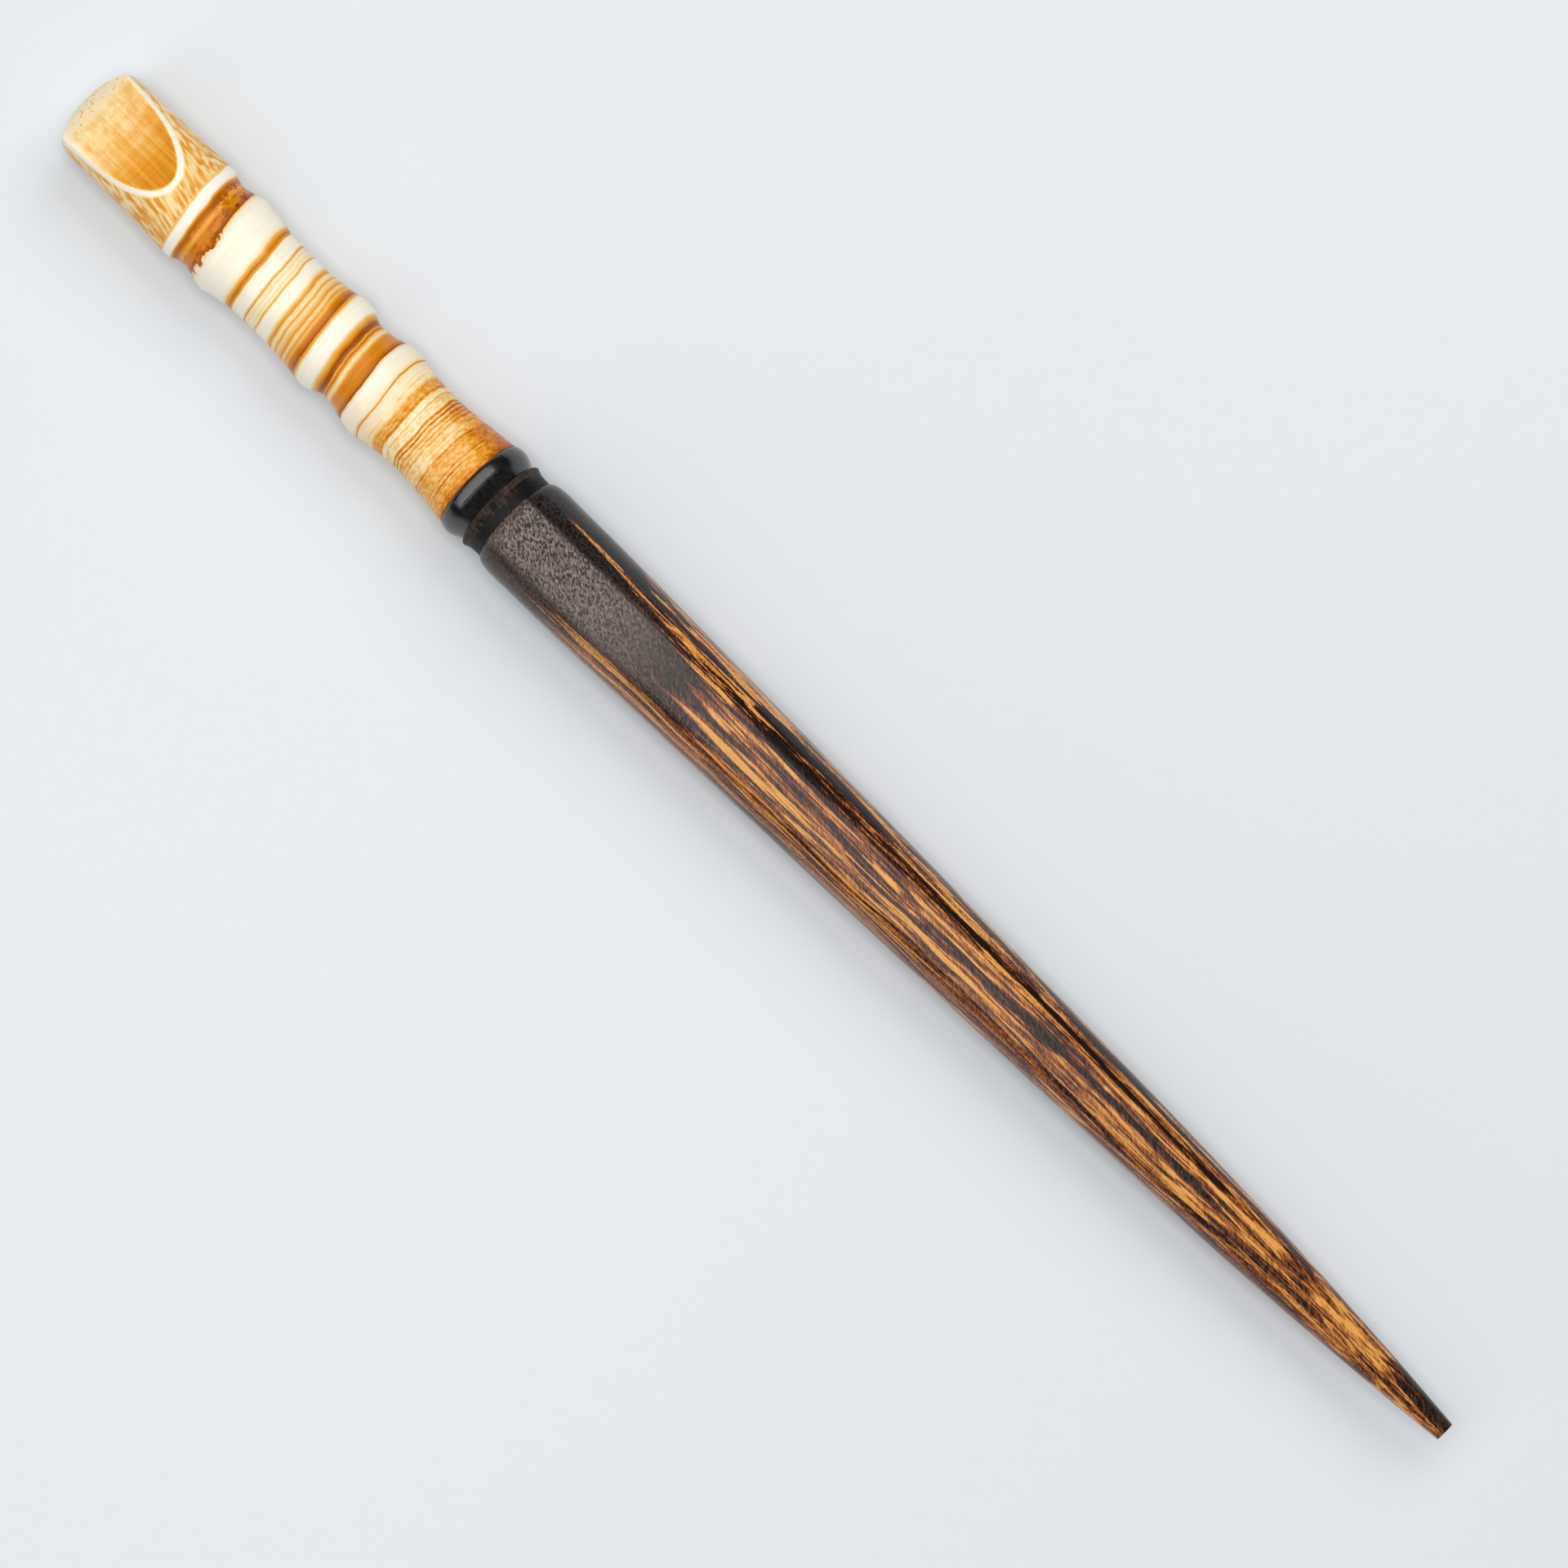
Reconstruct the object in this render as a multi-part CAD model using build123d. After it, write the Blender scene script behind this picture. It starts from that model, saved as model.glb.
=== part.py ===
from build123d import *
from math import sqrt
import os

# A wooden hair stick: a bamboo-root handle and a tapered hardwood shaft, with two thin
# turned rings between them, all threaded on one blind dowel and glued. Millimetres.
# It is built along X from the free end of the handle at x = 0, round about the X axis,
# then moved so that it lies on z = 0 with its middle over the origin.

# Lengths along the stick: the handle's three stretches between its end, its two nodes
# and the collar, then the collar rings and the shaft.
end_stretch = 15.5
internode = 21.2
collar_stretch = 16.8
bead_length = 2.8
neck_length = 2.2
shaft_length = 121.5

# Bamboo-root handle: a domed end, then the ridge of the first node. The grooves and swells
# beside each node, and the flare at the collar, are distances from it and diameters.
handle_end_diameter = 9.9
handle_end_dome_radius = 7.6
handle_end_corner = 1.0
handle_ridge_diameter = 10.25
first_node_swells = [(2.1, 9.15), (4.7, 10.35), (8.4, 9.1)]
second_node_swells = [(-7.6, 9.0), (-2.9, 10.15), (0, 8.55), (4.1, 10.1), (8.6, 8.75)]
collar_flare = [(-4.0, 9.2), (0, 10.0)]

# Thumb scoop cut into the top of the free end: distance from the end and height above
# the axis of its hollow's deepest line. It is hollow across too, about an axis above it.
scoop_line = [(13.4, 5.3), (10.8, 4.0), (7.4, 2.85), (4.6, 2.4), (2.5, 1.8), (0.5, 0.65)]
scoop_end_drop = 1.5
scoop_axis_height = 16.0
scoop_rim_round = 0.3

# Collar rings.
bead_diameter = 10.45
bead_groove_diameter = 9.7
bead_crest = 1.6
neck_diameter = 9.45
neck_rim_diameter = 10.0
neck_rim_width = 0.3

# Shaft: a short full-width stretch behind a rounded shoulder, then a long taper, straight
# to its first station and curved from there. A station is a distance back from the tip
# and a diameter.
shaft_diameter = 10.4
shaft_full_length = 8.0
shoulder_diameter = 9.5
shoulder_length = 1.1
taper_stations = [(85.6, 9.17), (68.6, 8.35), (38.2, 6.67), (22.7, 5.38), (11.9, 3.95)]
tip_diameter = 1.95

# Blind dowel that holds the pieces in line.
dowel_diameter = 4.0
dowel_depth_in_handle = 14.0
dowel_depth_in_shaft = 12.0
dowel_chamfer = 0.4
glue_gap = 0.05
bore_end_gap = 0.5

# Stations worked out from the lengths.
second_node = end_stretch + internode
handle_length = second_node + collar_stretch
bead_start = handle_length
neck_start = bead_start + bead_length
shaft_start = neck_start + neck_length
tip = shaft_start + shaft_length
bore_radius = dowel_diameter / 2 + glue_gap
swells = [
    (node + offset, diameter / 2)
    for node, shape in (
        (end_stretch, first_node_swells),
        (second_node, second_node_swells),
        (handle_length, collar_flare),
    )
    for offset, diameter in shape
]
widest_radius = max(shaft_diameter / 2, bead_diameter / 2, *(radius for _, radius in swells))


def turned(*edges):
    """A solid of revolution about the X axis, under edges that run above it in order."""
    outline = Wire(edges)
    start, end = outline @ 0, outline @ 1
    foot = [(end.X, 0), (start.X, 0)]
    closing = Polyline(end, *foot, start) if start.Y else Polyline(end, *foot)
    return revolve(make_face([*outline.edges(), *closing.edges()]), Axis.X)


def rod(start, end, radius):
    """A round bar along the X axis."""
    return Plane.YZ.offset(start) * extrude(Circle(radius), end - start)


def handle_outline():
    """Domed end, rounded corner, then one smooth line through the swells to the collar."""
    end_radius = handle_end_diameter / 2
    dome, corner = handle_end_dome_radius, handle_end_corner
    # The corner's arc lies inside the dome's sphere and touches the side.
    corner_y = end_radius - corner
    corner_x = dome - sqrt((dome - corner) ** 2 - corner_y**2)
    reach = dome / (dome - corner)
    dome_end = (dome + (corner_x - dome) * reach, corner_y * reach)
    side = (corner_x, end_radius)
    halfway = sqrt(0.5) * corner
    ridge = (end_stretch, handle_ridge_diameter / 2)
    return (
        RadiusArc((0, 0), dome_end, dome),
        ThreePointArc(dome_end, (corner_x - halfway, corner_y + halfway), side),
        Spline(side, ridge, tangents=((1, 0), (1, 0))),
        Spline(ridge, *swells),
    )


def scoop_cutter():
    """What the scoop takes away: a round bar on a line above the stick, with a waist."""
    far_end = (-1.0, -scoop_end_drop)
    top = scoop_axis_height
    hollow = Spline(*scoop_line, far_end)
    closing = Polyline(far_end, (far_end[0], top), (scoop_line[0][0], top), scoop_line[0])
    face = Plane.XZ * make_face([hollow, *closing.edges()])
    return revolve(face, Axis((0, 0, top), (1, 0, 0)))


def handle():
    blank, cutter = turned(*handle_outline()), scoop_cutter()
    scooped = blank - cutter
    rim = new_edges(blank, cutter, combined=scooped)
    body = fillet(rim, scoop_rim_round)
    bore = rod(handle_length - dowel_depth_in_handle - bore_end_gap, handle_length, bore_radius)
    return body - bore


def collar_bead():
    low, high = swells[-1][1], bead_diameter / 2
    groove = bead_groove_diameter / 2
    crest = bead_start + bead_crest
    profile = (
        TangentArc((crest, high), (bead_start, low), tangent=(-1, 0)),
        TangentArc((crest, high), (neck_start, groove), tangent=(1, 0)),
    )
    return turned(*profile) - rod(bead_start, neck_start, bore_radius)


def collar_neck():
    groove, rim = bead_groove_diameter / 2, neck_rim_diameter / 2
    rim_end = neck_start + neck_rim_width
    low = neck_diameter / 2
    profile = (
        Line((neck_start, groove), (rim_end, rim)),
        Spline((rim_end, rim), (shaft_start, low), tangents=((1, -0.8), (1, 0))),
    )
    return turned(*profile) - rod(neck_start, shaft_start, bore_radius)


def shaft():
    full = shaft_diameter / 2
    shoulder_end = shaft_start + shoulder_length
    full_end = shoulder_end + shaft_full_length
    stations = [(tip - back, d / 2) for back, d in taper_stations]
    cone = Line((full_end, full), stations[0])
    taper = Spline(*stations, (tip, tip_diameter / 2), tangents=(cone % 1, (1, -0.09)))
    body = turned(
        Spline(
            (shaft_start, shoulder_diameter / 2),
            (shoulder_end, full),
            tangents=((0.4, 1), (1, 0)),
        ),
        Line((shoulder_end, full), (full_end, full)),
        cone,
        taper,
    )
    bore_end = shaft_start + dowel_depth_in_shaft + bore_end_gap
    return body - rod(shaft_start, bore_end, bore_radius)


def joint_dowel():
    bar = rod(
        handle_length - dowel_depth_in_handle, shaft_start + dowel_depth_in_shaft, dowel_diameter / 2
    )
    return chamfer(bar.edges().filter_by(GeomType.CIRCLE), dowel_chamfer)


pieces = {
    "bamboo_handle": handle,
    "collar_bead": collar_bead,
    "collar_neck": collar_neck,
    "shaft": shaft,
    "joint_dowel": joint_dowel,
}

os.makedirs("parts", exist_ok=True)
lying_place = Location((-tip / 2, 0, widest_radius))
for node, make in pieces.items():
    export_step(lying_place * make(), f"parts/{node}.step")
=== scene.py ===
import math

import bpy
import numpy as np
from mathutils import Matrix, Vector, kdtree


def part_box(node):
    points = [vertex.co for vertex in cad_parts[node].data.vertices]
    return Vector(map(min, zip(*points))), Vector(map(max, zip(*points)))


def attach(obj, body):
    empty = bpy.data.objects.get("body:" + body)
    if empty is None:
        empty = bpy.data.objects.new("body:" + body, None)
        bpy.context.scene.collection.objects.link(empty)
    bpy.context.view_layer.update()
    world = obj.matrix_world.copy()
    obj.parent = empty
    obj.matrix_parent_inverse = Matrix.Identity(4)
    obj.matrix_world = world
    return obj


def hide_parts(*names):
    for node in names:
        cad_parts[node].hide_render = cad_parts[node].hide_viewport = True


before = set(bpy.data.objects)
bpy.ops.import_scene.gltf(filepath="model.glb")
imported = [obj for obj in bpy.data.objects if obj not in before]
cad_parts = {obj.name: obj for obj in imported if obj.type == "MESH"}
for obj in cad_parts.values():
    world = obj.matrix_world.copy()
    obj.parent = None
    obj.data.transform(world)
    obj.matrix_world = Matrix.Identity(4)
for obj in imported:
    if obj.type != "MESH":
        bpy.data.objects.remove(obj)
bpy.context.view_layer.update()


# --- Joint dowel ------------------------------------------------------------------------
# A plain beech dowel, bored into the handle and the shaft and glued. The two collar rings
# are threaded on it. It is hidden once the stick is together.

class Recipe:
    """The node tree of a finish or of a lathe, with its usual nodes on short calls."""

    def __init__(self, tree):
        self.tree = tree

    def add(self, kind, inputs=None, **settings):
        """A node of a kind, with its inputs linked or set."""
        made = self.tree.nodes.new(kind)
        for name, value in settings.items():
            setattr(made, name, value)
        for socket, value in (inputs or {}).items():
            if isinstance(value, bpy.types.NodeSocket):
                self.tree.links.new(value, made.inputs[socket])
            else:
                made.inputs[socket].default_value = value
        return made

    def maths(self, operation, *values, clamp=False):
        """A sum, product or other function of numbers."""
        made = self.add("ShaderNodeMath", dict(enumerate(values)), operation=operation)
        made.use_clamp = clamp
        return made.outputs[0]

    def blend(self, share, low, high):
        """A number between two others."""
        made = self.add("ShaderNodeMix", {0: share, 2: low, 3: high}, data_type="FLOAT")
        return made.outputs[0]

    def stretch(self, vector, along, across, up):
        """Coordinates scaled differently along, across and up."""
        scale = {0: vector, 1: (along, across, up)}
        return self.add("ShaderNodeVectorMath", scale, operation="MULTIPLY").outputs[0]

    def clouds(self, vector, scale, detail=2.0, roughness=0.5):
        """Soft noise of about 0.25 to 0.75."""
        inputs = {"Vector": vector, "Scale": scale, "Detail": detail, "Roughness": roughness}
        return self.add("ShaderNodeTexNoise", inputs).outputs["Fac"]

    def rise(self, value, start, end, low=0.0, high=1.0):
        """Goes smoothly from low to high as value goes from start to end."""
        inputs = {0: value, 1: start, 2: end, 3: low, 4: high}
        made = self.add("ShaderNodeMapRange", inputs, interpolation_type="SMOOTHSTEP")
        return made.outputs[0]

    def levels(self, value, stops):
        """A number that follows stops, which are a place from 0 to 1 and a level."""
        return self.tones(value, [(at, (level, level, level)) for at, level in stops])

    def tones(self, value, stops):
        """A colour that follows stops, which are a place from 0 to 1 and a colour."""
        made = self.add("ShaderNodeValToRGB", {0: value})
        ramp = made.color_ramp
        while len(ramp.elements) < len(stops):
            ramp.elements.new(1.0)
        for element, (at, colour) in zip(ramp.elements, stops):
            element.position = at
            element.color = (*colour, 1.0)
        return made.outputs[0]

    def mix(self, share, low, high):
        """A colour between two others."""
        made = self.add("ShaderNodeMix", {0: share, 6: low, 7: high}, data_type="RGBA")
        return made.outputs[2]

    def relief(self, height, depth):
        """A bumped normal from heights of 0 to 1, depth metres deep."""
        inputs = {"Height": height, "Distance": depth, "Strength": 1.0}
        return self.add("ShaderNodeBump", inputs).outputs[0]


per_metre = 1000.0  # millimetres


def finish_of(name):
    """A new material, its recipe, its shader, and its coordinates in millimetres."""
    material = bpy.data.materials.new(name)
    material.use_nodes = True
    recipe = Recipe(material.node_tree)
    shader = material.node_tree.nodes["Principled BSDF"]
    place = recipe.add("ShaderNodeTexCoord").outputs["Object"]
    return material, recipe, shader, recipe.stretch(place, per_metre, per_metre, per_metre)


def beech_finish():
    """Pale straight-grained beech with its short dark ray flecks."""
    material, recipe, shader, place = finish_of("bare_beech")
    grain = recipe.clouds(recipe.stretch(place, 0.08, 1.6, 1.6), 1.0, 4.0)
    flecks = recipe.clouds(recipe.stretch(place, 0.9, 6.0, 6.0), 1.0, 1.0)
    fleck = recipe.rise(flecks, 0.60, 0.66, 0.0, 0.35)
    tone = recipe.maths("ADD", grain, fleck, clamp=True)
    stops = [(0.2, (0.62, 0.42, 0.24)), (0.6, (0.50, 0.31, 0.16)), (1.0, (0.30, 0.16, 0.07))]
    colour = recipe.tones(tone, stops)
    links = material.node_tree.links
    links.new(colour, shader.inputs["Base Color"])
    links.new(recipe.rise(grain, 0.2, 0.8, 0.50, 0.64), shader.inputs["Roughness"])
    links.new(recipe.relief(grain, depth=0.00004), shader.inputs["Normal"])
    return material


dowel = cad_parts["joint_dowel"]
dowel.data.materials.clear()
dowel.data.materials.append(beech_finish())
dowel_low, dowel_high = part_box("joint_dowel")
axis_height = (dowel_low.z + dowel_high.z) / 2
glue_gap = 0.00005
end_gap = 0.0005
bore_radius = (dowel_high.z - dowel_low.z) / 2 + glue_gap


# --- Shaft ------------------------------------------------------------------------------
# The long tapered pin of dark palm-like hardwood, turned from one stick: a rounded shoulder
# at the collar, a short full width, then a taper to a small square tip. Satin lacquer.

def lathe_tree():
    """Turns two lines drawn beside the axis, the outside and the bore, into one solid."""
    tree = bpy.data.node_groups.new("lathe", "GeometryNodeTree")
    for label, way, kind in (
        ("Outline", "INPUT", "NodeSocketGeometry"),
        ("Steps along", "INPUT", "NodeSocketInt"),
        ("Steps in bore", "INPUT", "NodeSocketInt"),
        ("Steps round", "INPUT", "NodeSocketInt"),
        ("Axis height", "INPUT", "NodeSocketFloat"),
        ("Finish", "INPUT", "NodeSocketMaterial"),
        ("Turned", "OUTPUT", "NodeSocketGeometry"),
    ):
        tree.interface.new_socket(label, in_out=way, socket_type=kind)
    recipe = Recipe(tree)
    given = recipe.add("NodeGroupInput").outputs
    join = recipe.add("GeometryNodeJoinGeometry")
    rows = recipe.maths("ADD", given["Steps round"], 1.0)
    for line, steps in enumerate(("Steps along", "Steps in bore")):
        sheet = recipe.add(
            "GeometryNodeMeshGrid",
            {"Size X": 1.0, "Size Y": 1.0, "Vertices X": given[steps], "Vertices Y": rows},
        )
        spot = recipe.add(
            "ShaderNodeSeparateXYZ", {0: recipe.add("GeometryNodeInputPosition").outputs[0]}
        )
        share = recipe.maths("ADD", spot.outputs["X"], 0.5, clamp=True)
        turn = recipe.maths("MULTIPLY", spot.outputs["Y"], -2 * math.pi)
        point = recipe.add(
            "GeometryNodeSampleCurve",
            {"Curves": given["Outline"], "Factor": share, "Curve Index": line},
            mode="FACTOR",
        )
        drawn = recipe.add("ShaderNodeSeparateXYZ", {0: point.outputs["Position"]}).outputs
        across = recipe.maths("MULTIPLY", drawn["Z"], recipe.maths("SINE", turn))
        up = recipe.maths("MULTIPLY", drawn["Z"], recipe.maths("COSINE", turn))
        up = recipe.maths("ADD", up, given["Axis height"])
        place = recipe.add("ShaderNodeCombineXYZ", {0: drawn["X"], 1: across, 2: up})
        marked = recipe.add(
            "GeometryNodeStoreNamedAttribute",
            {"Geometry": sheet.outputs["Mesh"], "Name": "along", "Value": drawn["X"]},
            data_type="FLOAT",
            domain="POINT",
        )
        bent = recipe.add(
            "GeometryNodeSetPosition",
            {"Geometry": marked.outputs[0], "Position": place.outputs[0]},
        )
        tree.links.new(bent.outputs[0], join.inputs[0])
    seam = 0.000001
    closed = recipe.add(
        "GeometryNodeMergeByDistance", {"Geometry": join.outputs[0], "Distance": seam}
    )
    smooth = recipe.add("GeometryNodeSetShadeSmooth", {"Geometry": closed.outputs[0]})
    real = recipe.add("GeometryNodeRealizeInstances", {"Geometry": smooth.outputs[0]})
    coated = recipe.add(
        "GeometryNodeSetMaterial", {"Geometry": real.outputs[0], "Material": given["Finish"]}
    )
    tree.links.new(coated.outputs[0], recipe.add("NodeGroupOutput").inputs[0])
    return tree


lathe = lathe_tree()


def turned(name, outside, bore, *, steps_along, steps_in_bore, steps_round, finish):
    """A turned piece. Its two lines are points (metres along, metres off the axis, kind)."""
    curve = bpy.data.curves.new(name, "CURVE")
    curve.dimensions = "3D"
    curve.resolution_u = 24
    for line in (outside, bore):
        spline = curve.splines.new("BEZIER")
        spline.bezier_points.add(len(line) - 1)
        for point, (along, off_axis, kind) in zip(spline.bezier_points, line):
            point.co = (along, 0.0, off_axis)
            point.handle_left_type = point.handle_right_type = kind
    blank = bpy.data.objects.new(name + "_outline", curve)
    bpy.context.scene.collection.objects.link(blank)
    spin = blank.modifiers.new("lathe", "NODES")
    spin.node_group = lathe
    named = {item.name: item.identifier for item in lathe.interface.items_tree}
    spin[named["Steps along"]] = steps_along
    spin[named["Steps in bore"]] = steps_in_bore
    spin[named["Steps round"]] = steps_round
    spin[named["Axis height"]] = axis_height
    spin[named["Finish"]] = finish
    ready = blank.evaluated_get(bpy.context.evaluated_depsgraph_get())
    mesh = bpy.data.meshes.new_from_object(ready)
    mesh.name = name
    bpy.data.objects.remove(blank)
    piece = bpy.data.objects.new(name, mesh)
    bpy.context.scene.collection.objects.link(piece)
    return piece


def figured_finish(start):
    """Near-black wood with long orange streaks, which begin a little way from the collar.
    Painted sheen on its top and near side, and painted shade on its far flank.
    """
    material, recipe, shader, place = finish_of("figured_shaft_wood")
    links = material.node_tree.links
    spot = recipe.add("ShaderNodeSeparateXYZ", {0: place}).outputs
    along = recipe.maths("SUBTRACT", spot["X"], start * per_metre)
    # Growth layers: long and thin, gently bent, from broad bands down to single hairs.
    bend = recipe.clouds(recipe.stretch(place, 0.035, 0.20, 0.20), 1.0, 2.0)
    bend = recipe.rise(bend, 0.25, 0.75, -0.50, 0.50)
    bent = recipe.add("ShaderNodeCombineXYZ", {0: 0.0, 1: bend, 2: bend}).outputs[0]
    bent = recipe.add("ShaderNodeVectorMath", {0: place, 1: bent}, operation="ADD").outputs[0]
    broad = recipe.clouds(recipe.stretch(bent, 0.021, 0.42, 0.42), 1.0, 2.0, 0.45)
    thin = recipe.clouds(recipe.stretch(bent, 0.032, 1.30, 1.30), 1.0, 2.0, 0.5)
    threads = recipe.clouds(recipe.stretch(bent, 0.055, 3.6, 3.6), 1.0, 2.0, 0.6)
    hairs = recipe.clouds(recipe.stretch(place, 0.16, 9.0, 9.0), 1.0, 2.0, 0.6)
    figure = recipe.levels(
        broad,
        [
            (0.30, 0.58), (0.335, 0.46), (0.365, 0.76), (0.38, 0.46), (0.40, 0.22),
            (0.435, 0.16), (0.452, 0.36), (0.460, 0.86), (0.472, 0.66), (0.495, 0.52),
            (0.515, 0.62), (0.527, 0.86), (0.540, 0.48), (0.555, 0.22), (0.575, 0.16),
            (0.587, 0.80), (0.61, 0.58), (0.64, 0.50), (0.665, 0.74), (0.69, 0.30),
        ],
    )
    strips = recipe.rise(thin, 0.32, 0.66, -0.30, 0.26)
    tone = recipe.maths("ADD", figure, strips)
    tone = recipe.maths("ADD", tone, recipe.rise(threads, 0.34, 0.66, -0.30, 0.26))
    tone = recipe.maths("ADD", tone, recipe.rise(hairs, 0.36, 0.64, -0.30, 0.20))
    # No streaks beside the collar: they begin at both flanks, and much later on top.
    far_flank = recipe.rise(spot["Y"], 1.7, 2.4, 0.0, 17.0)
    near_flank = recipe.rise(spot["Y"], -2.8, -3.6, 0.0, 16.5)
    begin = recipe.maths("SUBTRACT", 25.0, recipe.maths("ADD", far_flank, near_flank))
    begin = recipe.maths("ADD", begin, recipe.rise(thin, 0.3, 0.7, 7.0, -5.0))
    past = recipe.maths("SUBTRACT", along, begin)
    tone = recipe.maths("MULTIPLY", tone, recipe.rise(past, -1.5, 4.5))
    # Long veins: from and to along the shaft, place across it and half width as shares of
    # its radius, and how much lighter or darker they are.
    radius = recipe.rise(along, 8.0, 122.0, 5.4, 1.9)
    across = recipe.maths("DIVIDE", spot["Y"], radius)
    across = recipe.maths("ADD", across, recipe.rise(thin, 0.3, 0.7, -0.05, 0.05))
    veins = [
        (8, 52, 0.70, 0.05, -0.55), (8, 40, 0.60, 0.06, 0.40), (17, 21.5, 0.49, 0.08, -0.70),
        (24, 50, 0.47, 0.05, -0.50), (44, 97, 0.63, 0.07, -0.52), (56, 84, 0.50, 0.05, 0.38),
        (60, 100, 0.08, 0.11, -0.48), (19, 42, -0.27, 0.085, 0.55), (62, 92, -0.68, 0.09, -0.15),
        (8, 30, -0.66, 0.07, 0.35), (30, 58, -0.54, 0.05, 0.30), (25, 44, 0.24, 0.05, 0.30),
        (18, 62, 0.80, 0.035, 0.50), (92, 116, 0.55, 0.30, 0.27), (44, 68, 0.12, 0.055, 0.38),
        (48, 68, -0.25, 0.055, 0.42), (41, 53, -0.08, 0.06, -0.35), (72, 100, -0.56, 0.10, 0.42),
        (66, 96, -0.30, 0.06, 0.25),
    ]
    opens_over, closes_over, least_width = 10, 12, 0.0001
    for begins, ends, middle, half, change in veins:
        apart = recipe.maths("ABSOLUTE", recipe.maths("SUBTRACT", across, middle))
        width = recipe.maths(
            "MULTIPLY",
            recipe.rise(along, begins, begins + opens_over, 0.001, half),
            recipe.rise(along, ends, ends - closes_over),
        )
        vein = recipe.maths("DIVIDE", apart, recipe.maths("ADD", width, least_width))
        tone = recipe.maths("ADD", tone, recipe.rise(vein, 1.3, 0.6, 0.0, change))
    # Short oblique strokes of open grain run over all of it.
    oblique = recipe.add("ShaderNodeVectorRotate", {"Vector": place, "Angle": 0.6}).outputs[0]
    hatch = recipe.clouds(recipe.stretch(oblique, 1.2, 6.5, 6.5), 1.0, 2.0, 0.6)
    tone = recipe.maths("ADD", tone, recipe.rise(hatch, 0.36, 0.64, -0.17, 0.10))
    # The far flank is the most contrasty: near-black patches between clear amber lines. The
    # lines are the wood's own; the darkening is painted shade, for a side that reflects no light.
    shaded_far_tone = recipe.maths("MULTIPLY_ADD", tone, 1.7, -0.38)
    flank = recipe.maths("MULTIPLY", recipe.rise(spot["Y"], 1.2, 2.8), recipe.rise(along, 96, 84))
    tone = recipe.blend(flank, tone, shaded_far_tone)
    # The wood turns a little lighter towards the tip.
    tone = recipe.maths("ADD", tone, recipe.rise(along, 74.0, 98.0, 0.0, 0.08))
    # A black streak along one side of the tip.
    streak = recipe.maths(
        "MULTIPLY", recipe.rise(along, 112.5, 116.0), recipe.rise(spot["Y"], -0.15, 0.10)
    )
    tone = recipe.maths("SUBTRACT", tone, recipe.maths("MULTIPLY", streak, 0.9), clamp=True)
    stops = [
        (0.0, (0.010, 0.005, 0.004)),
        (0.25, (0.062, 0.017, 0.006)),
        (0.5, (0.190, 0.050, 0.012)),
        (0.75, (0.40, 0.125, 0.022)),
        (1.0, (0.76, 0.36, 0.080)),
    ]
    colour = recipe.tones(tone, stops)
    # Beside the collar the pores are open pits with paler flecks between them.
    pores = recipe.clouds(recipe.stretch(oblique, 2.5, 5.2, 5.2), 1.0, 3.0, 0.7)
    depth = recipe.rise(along, 5.0, 24.0, 1.0, 0.10)
    pits = recipe.maths("MULTIPLY", recipe.rise(pores, 0.36, 0.50, 1.0, 0.0), depth)
    flecks = recipe.maths("MULTIPLY", recipe.rise(pores, 0.54, 0.66), depth)
    # Pale dust lies in the oblique strokes. It grows towards the near side, where it is also a
    # painted sheen standing in for light caught on that side.
    dust_and_near_sheen = recipe.maths(
        "MULTIPLY", recipe.rise(hatch, 0.42, 0.70), recipe.rise(spot["Y"], 2.5, -2.5, 0.03, 0.34)
    )
    colour = recipe.mix(dust_and_near_sheen, colour, (0.28, 0.160, 0.100, 1.0))
    # A painted sheen: grey on top beside the collar, standing in for the reflection of the
    # overhead light there. The pale flecks between the pits show only inside it.
    painted_top_sheen = recipe.maths(
        "MULTIPLY", recipe.rise(spot["Y"], 2.4, 1.8), recipe.rise(spot["Y"], -3.7, -2.6)
    )
    painted_top_sheen = recipe.maths("MULTIPLY", painted_top_sheen, recipe.rise(along, 24.0, 12.0, 0.0, 0.85))
    colour = recipe.mix(painted_top_sheen, colour, (0.150, 0.112, 0.094, 1.0))
    flecks_in_sheen = recipe.maths("MULTIPLY", recipe.maths("MULTIPLY", flecks, painted_top_sheen), 0.9)
    colour = recipe.mix(flecks_in_sheen, colour, (0.30, 0.23, 0.19, 1.0))
    links.new(recipe.mix(pits, colour, (0.006, 0.004, 0.004, 1.0)), shader.inputs["Base Color"])
    skin = recipe.maths("SUBTRACT", recipe.maths("MULTIPLY", hatch, 0.22), pits)
    skin = recipe.maths("ADD", skin, recipe.maths("MULTIPLY", threads, 0.25))
    links.new(recipe.relief(skin, depth=0.00006), shader.inputs["Normal"])
    links.new(recipe.rise(hatch, 0.3, 0.7, 0.09, 0.17), shader.inputs["Roughness"])
    shader.inputs["IOR"].default_value = 1.5
    shader.inputs["Specular IOR Level"].default_value = 0.40
    return material


def radii(start, stations):
    """Outline points from (millimetres along, diameter in millimetres) and their kind."""
    return [
        (start + at / per_metre, across / (2 * per_metre), kind) for at, across, kind in stations
    ]


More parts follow.
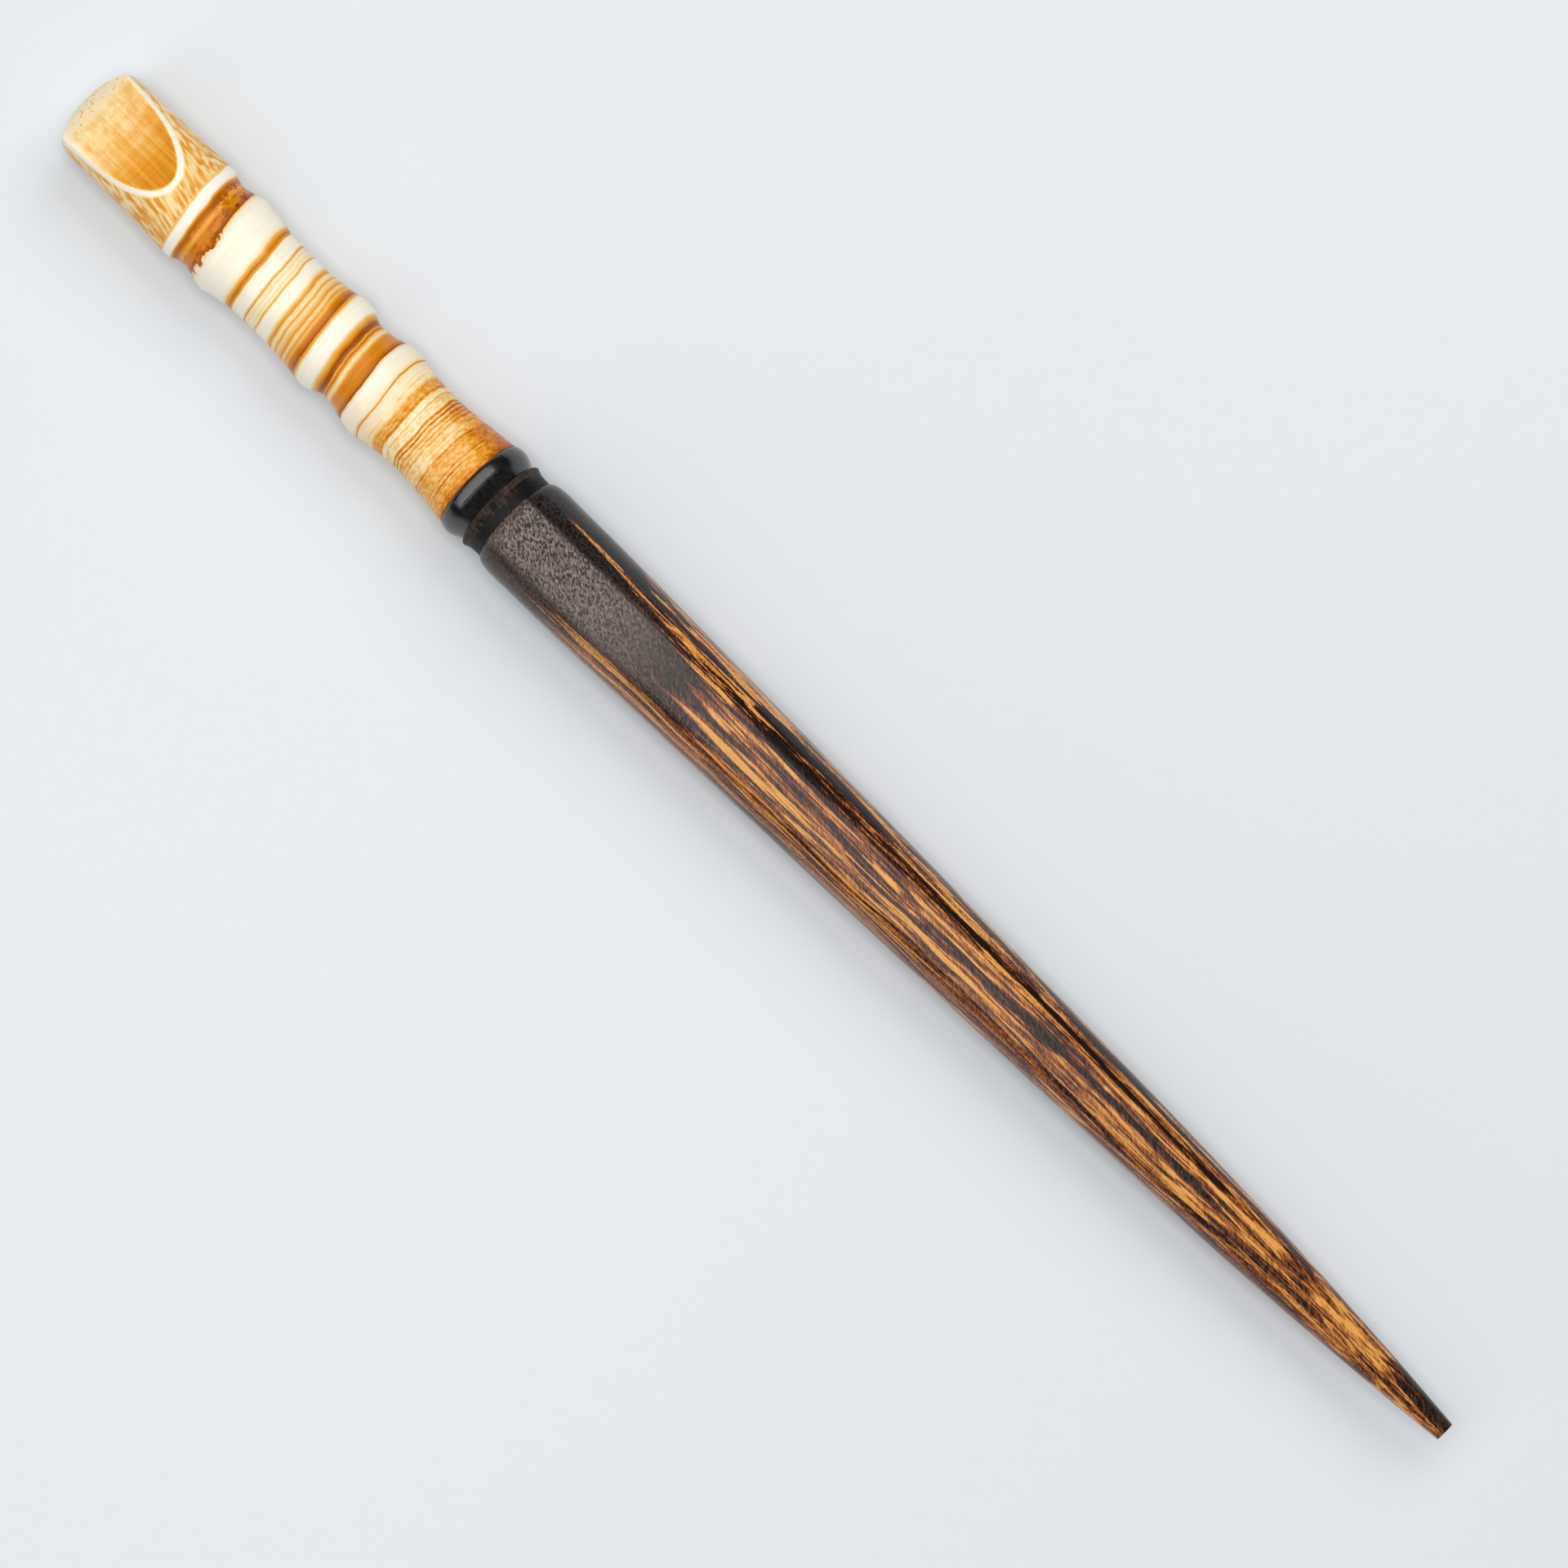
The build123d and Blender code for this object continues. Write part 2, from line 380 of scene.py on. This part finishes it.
shaft_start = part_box("shaft")[0].x
dowel_in_shaft = dowel_high.x + end_gap
shaft_outside = radii(
    shaft_start,
    [
        (0.0, 9.5, "VECTOR"), (0.25, 9.9, "AUTO"), (0.6, 10.2, "AUTO"), (1.2, 10.4, "AUTO"),
        (4.5, 10.42, "AUTO"), (9.1, 10.38, "AUTO"), (21.5, 9.85, "AUTO"),
        (35.9, 9.17, "AUTO"), (52.9, 8.35, "AUTO"), (83.3, 6.67, "AUTO"),
        (98.8, 5.38, "AUTO"), (109.6, 3.95, "AUTO"), (115.4, 3.05, "AUTO"),
        (121.5, 1.95, "VECTOR"), (121.5, 0.0, "VECTOR"),
    ],
)
shaft_bore = [
    (dowel_in_shaft, 0.0, "VECTOR"),
    (dowel_in_shaft, bore_radius, "VECTOR"),
    (shaft_start, bore_radius, "VECTOR"),
    shaft_outside[0],
]
shaft = turned(
    "shaft_turned",
    shaft_outside,
    shaft_bore,
    steps_along=520,
    steps_in_bore=60,
    steps_round=128,
    finish=figured_finish(shaft_start),
)
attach(shaft, "root")
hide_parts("shaft")


# --- Collar neck ------------------------------------------------------------------------
# The lower collar ring: a thin lip, then a shallow cove down to the shaft. A brown-black
# hardwood disc turned in place on the dowel, left less shiny than the bead.

def neck_finish(start):
    """Brown-black wood with faint turning marks, and painted shade in the cove beside the shaft.
    """
    material, recipe, shader, place = finish_of("neck_wood")
    links = material.node_tree.links
    marks = recipe.clouds(recipe.stretch(place, 7.0, 0.25, 0.25), 1.0, 2.0, 0.6)
    grain = recipe.clouds(recipe.stretch(place, 0.5, 2.4, 2.4), 1.0, 3.0, 0.6)
    stops = [(0.43, (0.003, 0.002, 0.002)), (0.57, (0.058, 0.036, 0.028))]
    level = recipe.maths("MULTIPLY", recipe.maths("ADD", marks, grain), 0.5)
    along = recipe.add("ShaderNodeSeparateXYZ", {0: place}).outputs["X"]
    past = recipe.maths("SUBTRACT", along, start * per_metre)
    # Painted shade: darker down the cove towards the shaft, in the groove between the parts.
    level = recipe.maths("ADD", level, recipe.rise(past, 0.5, 1.7, 0.0, -0.14))
    links.new(recipe.tones(level, stops), shader.inputs["Base Color"])
    links.new(recipe.rise(grain, 0.3, 0.7, 0.45, 0.60), shader.inputs["Roughness"])
    skin = recipe.maths("ADD", marks, grain)
    links.new(recipe.relief(skin, depth=0.00004), shader.inputs["Normal"])
    shader.inputs["Specular IOR Level"].default_value = 0.25
    return material


def through_bore(start, end, outside):
    """The hole through a ring, from one end of its outline back to the other."""
    return [
        outside[-1], (end, bore_radius, "VECTOR"), (start, bore_radius, "VECTOR"), outside[0]
    ]


neck_start, neck_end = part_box("collar_neck")[0].x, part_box("collar_neck")[1].x
neck_outside = radii(
    neck_start,
    [
        (0.0, 9.60, "VECTOR"), (0.12, 9.92, "AUTO"), (0.26, 10.0, "AUTO"),
        (0.42, 9.86, "AUTO"), (0.85, 9.58, "AUTO"), (1.5, 9.45, "AUTO"), (2.2, 9.45, "VECTOR"),
    ],
)
neck_bore = through_bore(neck_start, neck_end, neck_outside)
neck = turned(
    "collar_neck_turned",
    neck_outside,
    neck_bore,
    steps_along=70,
    steps_in_bore=24,
    steps_round=160,
    finish=neck_finish(neck_start),
)
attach(neck, "root")
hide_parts("collar_neck")


# --- Collar bead ------------------------------------------------------------------------
# The upper collar ring: one full rounded bead of black-dyed hardwood, polished, which hides
# the joint with the handle. It falls to a groove where it meets the neck ring.

def bead_finish():
    """Black polished wood: fine turning marks round it and a faint fibre along it."""
    material, recipe, shader, place = finish_of("ebonised_bead_wood")
    links = material.node_tree.links
    marks = recipe.clouds(recipe.stretch(place, 9.0, 0.3, 0.3), 1.0, 2.0, 0.6)
    grain = recipe.clouds(recipe.stretch(place, 0.6, 3.0, 3.0), 1.0, 4.0, 0.6)
    stops = [(0.30, (0.004, 0.004, 0.004)), (0.75, (0.020, 0.017, 0.016))]
    links.new(recipe.tones(grain, stops), shader.inputs["Base Color"])
    links.new(recipe.rise(grain, 0.3, 0.7, 0.13, 0.24), shader.inputs["Roughness"])
    skin = recipe.maths("ADD", marks, grain)
    links.new(recipe.relief(skin, depth=0.00002), shader.inputs["Normal"])
    shader.inputs["IOR"].default_value = 1.55
    shader.inputs["Specular IOR Level"].default_value = 0.8
    return material


bead_start, bead_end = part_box("collar_bead")[0].x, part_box("collar_bead")[1].x
bead_outside = radii(
    bead_start,
    [
        (0.0, 9.86, "VECTOR"), (0.12, 10.08, "AUTO"), (0.32, 10.28, "AUTO"),
        (0.65, 10.41, "AUTO"), (1.02, 10.45, "AUTO"), (1.38, 10.35, "AUTO"),
        (1.75, 10.10, "AUTO"), (2.1, 9.76, "AUTO"), (2.45, 9.42, "AUTO"), (2.8, 9.10, "VECTOR"),
    ],
)
bead_bore = through_bore(bead_start, bead_end, bead_outside)
bead = turned(
    "collar_bead_turned",
    bead_outside,
    bead_bore,
    steps_along=70,
    steps_in_bore=24,
    steps_round=160,
    finish=bead_finish(),
)
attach(bead, "root")
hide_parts("collar_bead")


# --- Bamboo handle ----------------------------------------------------------------------
# A length of bamboo root: two nodes with short necks beside them, cream wood ringed with
# amber growth scars that lie a little askew, and a thumb scoop cut through the top of the
# domed end. Glossy clear lacquer over all.

handle_start, handle_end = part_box("bamboo_handle")[0].x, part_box("bamboo_handle")[1].x
dome_radius, dome_edge = 7.6, 3.95
dome = [
    (dome_radius - math.sqrt(dome_radius**2 - off_axis**2), 2 * off_axis, "AUTO")
    for off_axis in (0.7, 1.4, 2.1, 2.8, 3.4, dome_edge)
]
handle_outside = radii(
    handle_start,
    [
        (0.0, 0.0, "VECTOR"), *dome, (1.45, 9.10, "AUTO"), (2.1, 9.66, "AUTO"),
        (3.2, 9.85, "AUTO"), (6.3, 10.0, "AUTO"), (13.9, 10.18, "AUTO"),
        (15.2, 10.32, "AUTO"), (16.1, 10.22, "AUTO"), (16.7, 9.55, "AUTO"),
        (17.6, 9.15, "AUTO"), (18.8, 9.55, "AUTO"), (20.2, 10.35, "AUTO"),
        (21.6, 9.85, "AUTO"), (23.9, 9.10, "AUTO"), (27.0, 8.93, "AUTO"),
        (30.2, 9.12, "AUTO"), (32.4, 9.62, "AUTO"), (33.9, 10.15, "AUTO"),
        (35.1, 9.75, "AUTO"), (36.0, 8.85, "AUTO"), (36.8, 8.55, "AUTO"),
        (38.2, 8.95, "AUTO"), (39.4, 9.70, "AUTO"), (40.8, 10.12, "AUTO"),
        (42.4, 9.60, "AUTO"), (45.3, 8.80, "AUTO"), (48.5, 8.90, "AUTO"),
        (51.2, 9.42, "AUTO"), (53.5, 9.98, "VECTOR"),
    ],
)
dowel_in_handle = dowel_low.x - end_gap
handle_bore = [
    handle_outside[-1],
    (handle_end, bore_radius, "VECTOR"),
    (dowel_in_handle, bore_radius, "VECTOR"),
    (dowel_in_handle, 0.0, "VECTOR"),
]

# Growth rings, in millimetres from the free end: place, how amber it is, from 0 for cream
# to 1 for dark brown, and how deep its scar is cut.
end_rings = [
    (0.0, 0.24, 0), (8.0, 0.31, 0), (15.0, 0.38, 0), (15.22, 0.40, 0), (15.35, 0.02, 0),
    (16.30, 0.03, 0), (16.45, 0.45, 0), (16.60, 0.68, 0), (16.85, 0.80, 0.03),
    (17.20, 0.66, 0), (17.42, 0.50, 0), (17.66, 0.54, 0), (17.85, 0.68, 0), (18.4, 0.66, 0.02),
    (18.85, 0.84, 0.04), (19.00, 0.88, 0), (19.12, 0.26, 0), (19.45, 0.09, 0), (20.0, 0.06, 0),
]
middle_rings = [
    (20.0, 0.06, 0), (20.6, 0.03, 0), (22.9, 0.03, 0), (23.3, 0.16, 0), (23.62, 0.50, 0),
    (24.00, 0.70, 0.04), (24.30, 0.56, 0), (24.42, 0.06, 0), (25.7, 0.04, 0),
    (26.02, 0.56, 0.03), (26.2, 0.10, 0), (26.55, 0.26, 0), (26.72, 0.08, 0), (26.95, 0.24, 0),
    (27.15, 0.10, 0), (27.38, 0.54, 0.03), (27.56, 0.05, 0), (28.7, 0.06, 0),
    (29.05, 0.40, 0), (29.32, 0.62, 0.03), (29.55, 0.26, 0), (29.85, 0.22, 0),
    (30.1, 0.56, 0.02), (30.3, 0.24, 0), (30.7, 0.40, 0), (30.95, 0.60, 0), (31.15, 0.30, 0),
    (31.4, 0.34, 0),
]
node_rings = [
    (31.4, 0.34, 0), (31.6, 0.54, 0.02), (31.8, 0.40, 0), (32.15, 0.66, 0), (32.45, 0.74, 0),
    (32.75, 0.86, 0.04), (32.92, 0.46, 0), (33.05, 0.56, 0), (33.2, 0.24, 0),
    (33.45, 0.03, 0), (35.15, 0.02, 0), (35.4, 0.34, 0), (35.85, 0.60, 0), (36.1, 0.90, 0.05),
    (36.42, 0.86, 0), (36.58, 0.40, 0), (36.78, 0.78, 0.04), (37.05, 0.40, 0),
    (37.2, 0.22, -0.09), (37.45, 0.26, -0.06), (37.7, 0.58, 0), (37.95, 0.63, 0),
    (38.8, 0.63, 0), (39.22, 0.78, 0.03), (39.38, 0.92, 0.04), (39.5, 0.24, 0), (39.7, 0.04, 0),
    (40.4, 0.06, 0),
]
collar_rings = [
    (40.4, 0.06, 0), (41.3, 0.10, 0), (41.62, 0.16, 0), (41.78, 0.72, 0.04), (41.93, 0.14, 0),
    (42.9, 0.14, 0), (43.6, 0.22, 0), (44.1, 0.52, 0), (44.5, 0.46, 0), (44.85, 0.64, 0.02),
    (45.1, 0.14, 0), (45.9, 0.22, 0), (46.45, 0.20, 0), (46.66, 0.66, 0.03), (46.84, 0.26, 0),
    (47.02, 0.66, 0.03), (47.2, 0.26, 0), (47.42, 0.56, 0.02), (47.62, 0.28, 0),
    (47.83, 0.54, 0.02), (48.02, 0.24, 0), (48.22, 0.52, 0), (48.45, 0.26, 0), (49.5, 0.26, 0),
    (49.9, 0.46, 0.02), (50.3, 0.48, 0), (51.4, 0.42, 0), (52.4, 0.48, 0), (53.2, 0.56, 0),
    (53.5, 0.72, 0),
]


def ring_levels(recipe, along, rings):
    """The amber level that a list of rings gives to a place along the handle."""
    first, last = rings[0][0], rings[-1][0]
    share = recipe.add("ShaderNodeMapRange", {0: along, 1: first, 2: last}).outputs[0]
    stops = [((at - first) / (last - first), level) for at, level, _ in rings]
    return recipe.levels(share, stops)


def bamboo_finish(start):
    """Lacquered bamboo root: rings and flecks round it, long fibres in its scoop, and painted
    light and shade in and round the scoop.
    """
    material, recipe, shader, place = finish_of("bamboo_root_lacquered")
    links = material.node_tree.links
    stored = recipe.add("ShaderNodeAttribute", attribute_name="along").outputs["Fac"]
    scooped = recipe.add("ShaderNodeAttribute", attribute_name="scooped").outputs["Fac"]
    rim = recipe.add("ShaderNodeAttribute", attribute_name="rim").outputs["Fac"]
    along = recipe.maths("MULTIPLY", stored, per_metre)
    along = recipe.maths("SUBTRACT", along, start * per_metre)
    side = recipe.add("ShaderNodeSeparateXYZ", {0: place}).outputs["Y"]
    # The rings wander a little as they go round.
    wander = recipe.clouds(place, 0.16, 2.0, 0.5)
    ripple = recipe.clouds(recipe.stretch(place, 0.5, 1.3, 1.3), 1.0, 2.0)
    ring = recipe.maths("ADD", along, recipe.rise(wander, 0.25, 0.75, -0.20, 0.20))
    ring = recipe.maths("ADD", ring, recipe.rise(ripple, 0.25, 0.75, -0.02, 0.02))
    # The white ring past the first node has a ragged, celled edge on its near side.
    cells = recipe.clouds(recipe.stretch(place, 0.5, 1.1, 1.1), 1.0, 2.0, 0.5)
    ragged = recipe.maths("ABSOLUTE", recipe.maths("SUBTRACT", along, 19.25))
    ragged = recipe.maths("MULTIPLY", recipe.rise(ragged, 0.9, 0.3), recipe.rise(side, 0.6, -0.8))
    ragged = recipe.maths("MULTIPLY", ragged, recipe.rise(cells, 0.36, 0.64, -0.50, 0.12))
    ring = recipe.maths("ADD", ring, ragged)
    amber = ring_levels(recipe, ring, end_rings)
    for rings in (middle_rings, node_rings, collar_rings):
        past = recipe.maths("GREATER_THAN", ring, rings[0][0])
        amber = recipe.blend(past, amber, ring_levels(recipe, ring, rings))
    # Fine growth lines between the named rings, and grainy patches towards the collar.
    ring_place = recipe.add("ShaderNodeCombineXYZ", {0: ring}).outputs[0]
    lines = recipe.clouds(ring_place, 4.2, 3.0, 0.75)
    patchy = recipe.clouds(recipe.stretch(place, 0.6, 0.35, 0.35), 1.0, 3.0, 0.6)
    lines = recipe.maths("MULTIPLY", recipe.rise(lines, 0.46, 0.64), recipe.rise(patchy, 0.3, 0.6))
    lines = recipe.maths("MULTIPLY", lines, recipe.rise(ring, 40.0, 45.0, 0.12, 0.36))
    lines = recipe.maths("MULTIPLY", lines, recipe.rise(ring, 19.0, 21.0))
    amber = recipe.maths("ADD", amber, lines)
    grainy = recipe.clouds(recipe.stretch(place, 2.8, 1.6, 1.6), 1.0, 3.0, 0.65)
    grainy = recipe.rise(grainy, 0.35, 0.65, 0.07, -0.11)
    grainy = recipe.maths("MULTIPLY", grainy, recipe.rise(ring, 41.5, 45.0))
    amber = recipe.maths("ADD", amber, grainy)
    flank = recipe.maths("MULTIPLY", recipe.rise(side, 1.6, 4.0), recipe.rise(ring, 43.0, 49.0))
    amber = recipe.maths("ADD", amber, recipe.maths("MULTIPLY", flank, 0.24))
    # Fibre bundles: oblique dashes along the sides of the end, dots where they are cut.
    slant = recipe.add("ShaderNodeVectorRotate", {"Vector": place, "Angle": 0.30}).outputs[0]
    bundles = recipe.clouds(recipe.stretch(slant, 0.34, 2.3, 2.3), 1.0, 1.0, 0.5)
    dashes = recipe.rise(bundles, 0.38, 0.62, -0.10, 0.20)
    broad = recipe.rise(recipe.clouds(place, 0.35, 1.0), 0.35, 0.65, 0.6, 1.2)
    dashes = recipe.maths("MULTIPLY", dashes, broad)
    near_end = recipe.rise(along, 14.9, 15.3, 1.0, 0.0)
    amber = recipe.maths("ADD", amber, recipe.maths("MULTIPLY", dashes, near_end))
    # Dark specks beside the first node, on its far side.
    specks = recipe.clouds(recipe.stretch(place, 1.7, 1.1, 1.1), 1.0, 3.0, 0.7)
    first_node = recipe.rise(
        recipe.maths("ABSOLUTE", recipe.maths("SUBTRACT", along, 18.0)), 1.5, 0.7
    )
    first_node = recipe.maths("MULTIPLY", first_node, recipe.rise(side, 0.5, 2.6, 0.35, 1.0))
    specks = recipe.maths("MULTIPLY", recipe.rise(specks, 0.50, 0.60, 0.0, 0.24), first_node)
    amber = recipe.maths("ADD", amber, specks)
    # The scoop's face: lines along it, faint bars across it, soft blotches, and deeper amber
    # at its inner end, partly the wood and partly painted shade where the inner wall faces away
    # from the light. Where it runs out through the dome it is pale end grain with dots.
    fibres = recipe.clouds(recipe.stretch(place, 0.05, 2.4, 0.25), 1.0, 3.0, 0.7)
    bars = recipe.clouds(recipe.stretch(place, 1.3, 0.06, 0.06), 1.0, 2.0, 0.6)
    blotches = recipe.clouds(recipe.stretch(place, 0.9, 1.1, 1.1), 1.0, 2.0)
    face = recipe.rise(along, 2.2, 12.0, 0.31, 0.58)
    face = recipe.maths("ADD", face, recipe.rise(fibres, 0.34, 0.66, -0.06, 0.06))
    face = recipe.maths("ADD", face, recipe.rise(bars, 0.3, 0.7, -0.03, 0.03))
    soft = recipe.rise(along, 4.5, 9.0, 0.045, 0.0)
    soft = recipe.maths("MULTIPLY", recipe.rise(blotches, 0.4, 0.6, -1.0, 1.0), soft)
    face = recipe.maths("ADD", face, soft)
    # Painted shade: deeper amber towards the far wall of the scoop, which faces away from the
    # light.
    face = recipe.maths("ADD", face, recipe.rise(side, 1.5, 3.8, 0.0, 0.07))
    dots = recipe.add("ShaderNodeTexVoronoi", {"Vector": place, "Scale": 1.9})
    end_grain = recipe.rise(dots.outputs["Distance"], 0.16, 0.34, 0.44, 0.17)
    face = recipe.blend(recipe.rise(along, 1.5, 3.0), end_grain, face)
    # Painted highlight: paler along the near edge of the scoop, where the rounded rim catches
    # light.
    face = recipe.maths("MULTIPLY", face, recipe.rise(side, -3.2, -4.3, 1.0, 0.25))
    amber = recipe.blend(scooped, amber, face)
    # Painted highlight: a pale band round the outside of the scoop's rim, where the rounded edge
    # catches the light.
    painted_rim_highlight = recipe.rise(rim, 0.35, 0.75, 1.0, 0.0)
    painted_rim_highlight = recipe.maths("MULTIPLY", painted_rim_highlight, recipe.maths("SUBTRACT", 1.0, scooped))
    amber = recipe.blend(painted_rim_highlight, amber, 0.04)
    stops = [
        (0.0, (0.95, 0.92, 0.83)),
        (0.25, (0.91, 0.69, 0.33)),
        (0.5, (0.80, 0.37, 0.040)),
        (0.64, (0.68, 0.225, 0.004)),
        (0.78, (0.44, 0.115, 0.003)),
        (1.0, (0.16, 0.035, 0.003)),
    ]
    links.new(recipe.tones(amber, stops), shader.inputs["Base Color"])
    links.new(recipe.rise(patchy, 0.3, 0.7, 0.30, 0.42), shader.inputs["Roughness"])
    links.new(recipe.relief(amber, depth=0.00002), shader.inputs["Normal"])
    shader.inputs["Specular IOR Level"].default_value = 0.1
    shader.inputs["Coat Weight"].default_value = 0.3
    shader.inputs["Coat Roughness"].default_value = 0.10
    return material


handle = turned(
    "bamboo_handle_carved",
    handle_outside,
    handle_bore,
    steps_along=470,
    steps_in_bore=40,
    steps_round=176,
    finish=bamboo_finish(handle_start),
)

# The rest of the handle's shape is worked into the turned blank, in millimetres from its
# free end and from its axis.
mesh = handle.data
count = len(mesh.vertices)
places = np.empty(count * 3, np.float32)
mesh.vertices.foreach_get("co", places)
places = places.reshape(-1, 3).astype(float)
x = (places[:, 0] - handle_start) * per_metre
y = places[:, 1] * per_metre
z = (places[:, 2] - axis_height) * per_metre
radius = np.hypot(y, z)
beyond_bore = 3.0
outside_skin = radius > beyond_bore

# Scars and ridges of the rings, uneven round the handle, and a slow swell that keeps it
# from being quite round. Both fade out at its two ends.
turn = np.arctan2(y, z)
cut = np.zeros(count)
scar_width = 0.13
for at, _, depth in end_rings + middle_rings + node_rings + collar_rings:
    if depth:
        uneven = 1 + 0.4 * np.sin(turn * 2 + at * 3.1) + 0.25 * np.sin(turn * 5 + at * 7.7)
        cut += depth * uneven * np.exp(-(((x - at) / scar_width) ** 2))
swell = 0.05 * np.sin(turn * 2 + x * 0.21) + 0.03 * np.sin(turn * 3 - x * 0.47 + 1.3)
dome_fade, collar_fade = 4, 3
to_collar = (handle_end - handle_start) * per_metre - x
blend_in = np.clip(x / dome_fade, 0, 1) * np.clip(to_collar, 0, collar_fade) / collar_fade
growth = np.where(outside_skin, (swell - cut) * blend_in, 0)
y += growth * y / np.maximum(radius, 1e-6)
z += growth * z / np.maximum(radius, 1e-6)

# The nodes lie askew: the far side and the underside lean towards the free end.
askew = np.interp(x, [4, 14, 20, 26, 34, 41, 48], [0, 1, 1, 0.9, 0.7, 0.4, 0])
lean_sideways, lean_upwards = -0.117, 0.12
x += np.where(outside_skin, askew * (lean_sideways * y + lean_upwards * z), 0)

# The thumb scoop: hollow along the stick and, about an axis above it, hollow across it. Its
# points are how far it is from the free end and how high its floor is there.
scoop_axis = 16.0
scoop_points = [
    (13.4, 5.3), (10.8, 4.0), (7.4, 2.85), (4.6, 2.4), (2.5, 1.8), (0.5, 0.65), (-1.0, -1.5)
]
scoop_reach = 15.0
untouched = -9.0
deepest = np.polyval(np.polyfit(*zip(*scoop_points), 5), np.clip(x, -1.0, scoop_reach))
floor_height = scoop_axis - np.sqrt(np.maximum((scoop_axis - deepest) ** 2 - y**2, 0.01))
above = z - floor_height
above[x > scoop_reach] = untouched
edge_round = 0.22
closeness = np.clip(edge_round - np.abs(above), 0, None) / edge_round
z = np.minimum(z, z - above) - closeness**2 * edge_round / 4

places[:, 0] = handle_start + x / per_metre
places[:, 1] = y / per_metre
places[:, 2] = axis_height + z / per_metre
mesh.vertices.foreach_set("co", places.astype(np.float32).ravel())

# How far each place is from the scoop's rim, and whether it lies in the scoop.
on_rim, across_rim, far_off = 0.10, 0.12, 9.0
rim_points = np.flatnonzero((np.abs(above) < on_rim) & (x < scoop_reach))
tree = kdtree.KDTree(len(rim_points))
for number, index in enumerate(rim_points):
    tree.insert(Vector((x[index], y[index], z[index])), number)
tree.balance()
rim_distance = np.full(count, far_off)
for index in np.flatnonzero(x < scoop_reach + 2):
    rim_distance[index] = tree.find(Vector((x[index], y[index], z[index])))[2]
scoop_share = np.clip(above / across_rim + 0.5, 0, 1)
for name, values in (("rim", rim_distance), ("scooped", scoop_share)):
    stored = mesh.attributes.new(name, "FLOAT", "POINT")
    stored.data.foreach_set("value", values.astype(np.float32))
mesh.update()
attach(handle, "root")
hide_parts("bamboo_handle")


# --- Table, light and camera ------------------------------------------------------------
# A plain pale table top. One long soft light overhead makes the sheen on the stick, with a
# part that only adds sheen, and three weaker lights only fill the shadows. A long lens
# above the tip looks back at the stick.

def table_finish():
    """A pale, faintly bluish satin table top."""
    material, recipe, shader, place = finish_of("pale_table")
    shade = recipe.clouds(place, 0.004, 2.0)
    stops = [(0.3, (0.66, 0.70, 0.745)), (0.7, (0.69, 0.73, 0.775))]
    material.node_tree.links.new(recipe.tones(shade, stops), shader.inputs["Base Color"])
    shader.inputs["Roughness"].default_value = 0.5
    return material


floor_mesh = bpy.data.meshes.new("table_top")
reach = 3.0
floor_mesh.from_pydata(
    [(-reach, -reach, 0), (reach, -reach, 0), (reach, reach, 0), (-reach, reach, 0)],
    [],
    [(0, 1, 2, 3)],
)
floor_mesh.materials.append(table_finish())
table = bpy.data.objects.new("table_top", floor_mesh)
bpy.context.scene.collection.objects.link(table)


def soft_light(name, place, wide, deep, power, colour, mirrored=True, lights=True):
    """A flat light that shines down. It may be left out of the reflections or of the rest."""
    lamp = bpy.data.lights.new(name, "AREA")
    lamp.shape = "RECTANGLE"
    lamp.size, lamp.size_y = wide, deep
    lamp.energy = power
    lamp.color = colour
    holder = bpy.data.objects.new(name, lamp)
    holder.location = place
    holder.visible_glossy = mirrored
    holder.visible_diffuse = lights
    bpy.context.scene.collection.objects.link(holder)
    return holder


warm, cool = (1.0, 0.985, 0.97), (0.97, 0.98, 1.0)
soft_light("overhead", (-0.165, -0.385, 0.80), wide=0.39, deep=2.43, power=6.6, colour=warm)
soft_light(
    "overhead_sheen",
    (-0.71, -0.385, 0.80),
    wide=0.70,
    deep=2.43,
    power=8.5,
    colour=warm,
    lights=False,
)
near_wall = soft_light(
    "near_wall", (-0.4, -1.7, 0.45), wide=2.0, deep=0.8, power=4.5, colour=cool, mirrored=False
)
near_wall.rotation_euler = (math.radians(90), 0, 0)
soft_light(
    "zenith_fill",
    (0.2, 0.0, 1.2),
    wide=0.5,
    deep=0.5,
    power=6.8,
    colour=(1.0, 0.99, 0.98),
    mirrored=False,
)
far_fill = soft_light(
    "far_fill",
    (0.15, 0.85, 0.95),
    wide=1.0,
    deep=0.8,
    power=5.7,
    colour=(1.0, 0.98, 0.955),
    mirrored=False,
)
far_fill.rotation_euler = (math.radians(-42), 0, 0)

world = bpy.data.worlds.new("studio")
world.use_nodes = True
background = world.node_tree.nodes["Background"].inputs
background["Color"].default_value = (0.80, 0.88, 1.0, 1.0)
background["Strength"].default_value = 0.02
bpy.context.scene.world = world
bpy.context.scene.view_settings.view_transform = "Standard"

lens = bpy.data.cameras.new("camera")
lens.lens = 147.3
lens.sensor_width = 36.0
camera = bpy.data.objects.new("camera", lens)
tilt = math.radians(7.73)
away = Vector((-math.sin(tilt), 0, -math.cos(tilt)))
level = Vector((math.cos(tilt), 0, -math.sin(tilt)))
side = Vector((0, 1, 0))
turn_cos, turn_sin = 0.714, 0.700
right = (level * turn_cos + side * turn_sin).normalized()
up = (side * turn_cos - level * turn_sin).normalized()
facing = Matrix((right, up, -away)).transposed().to_4x4()
stand = (0.085, 0, 0.600)
camera.matrix_world = Matrix.Translation(stand) @ facing
bpy.context.scene.collection.objects.link(camera)
bpy.context.scene.camera = camera
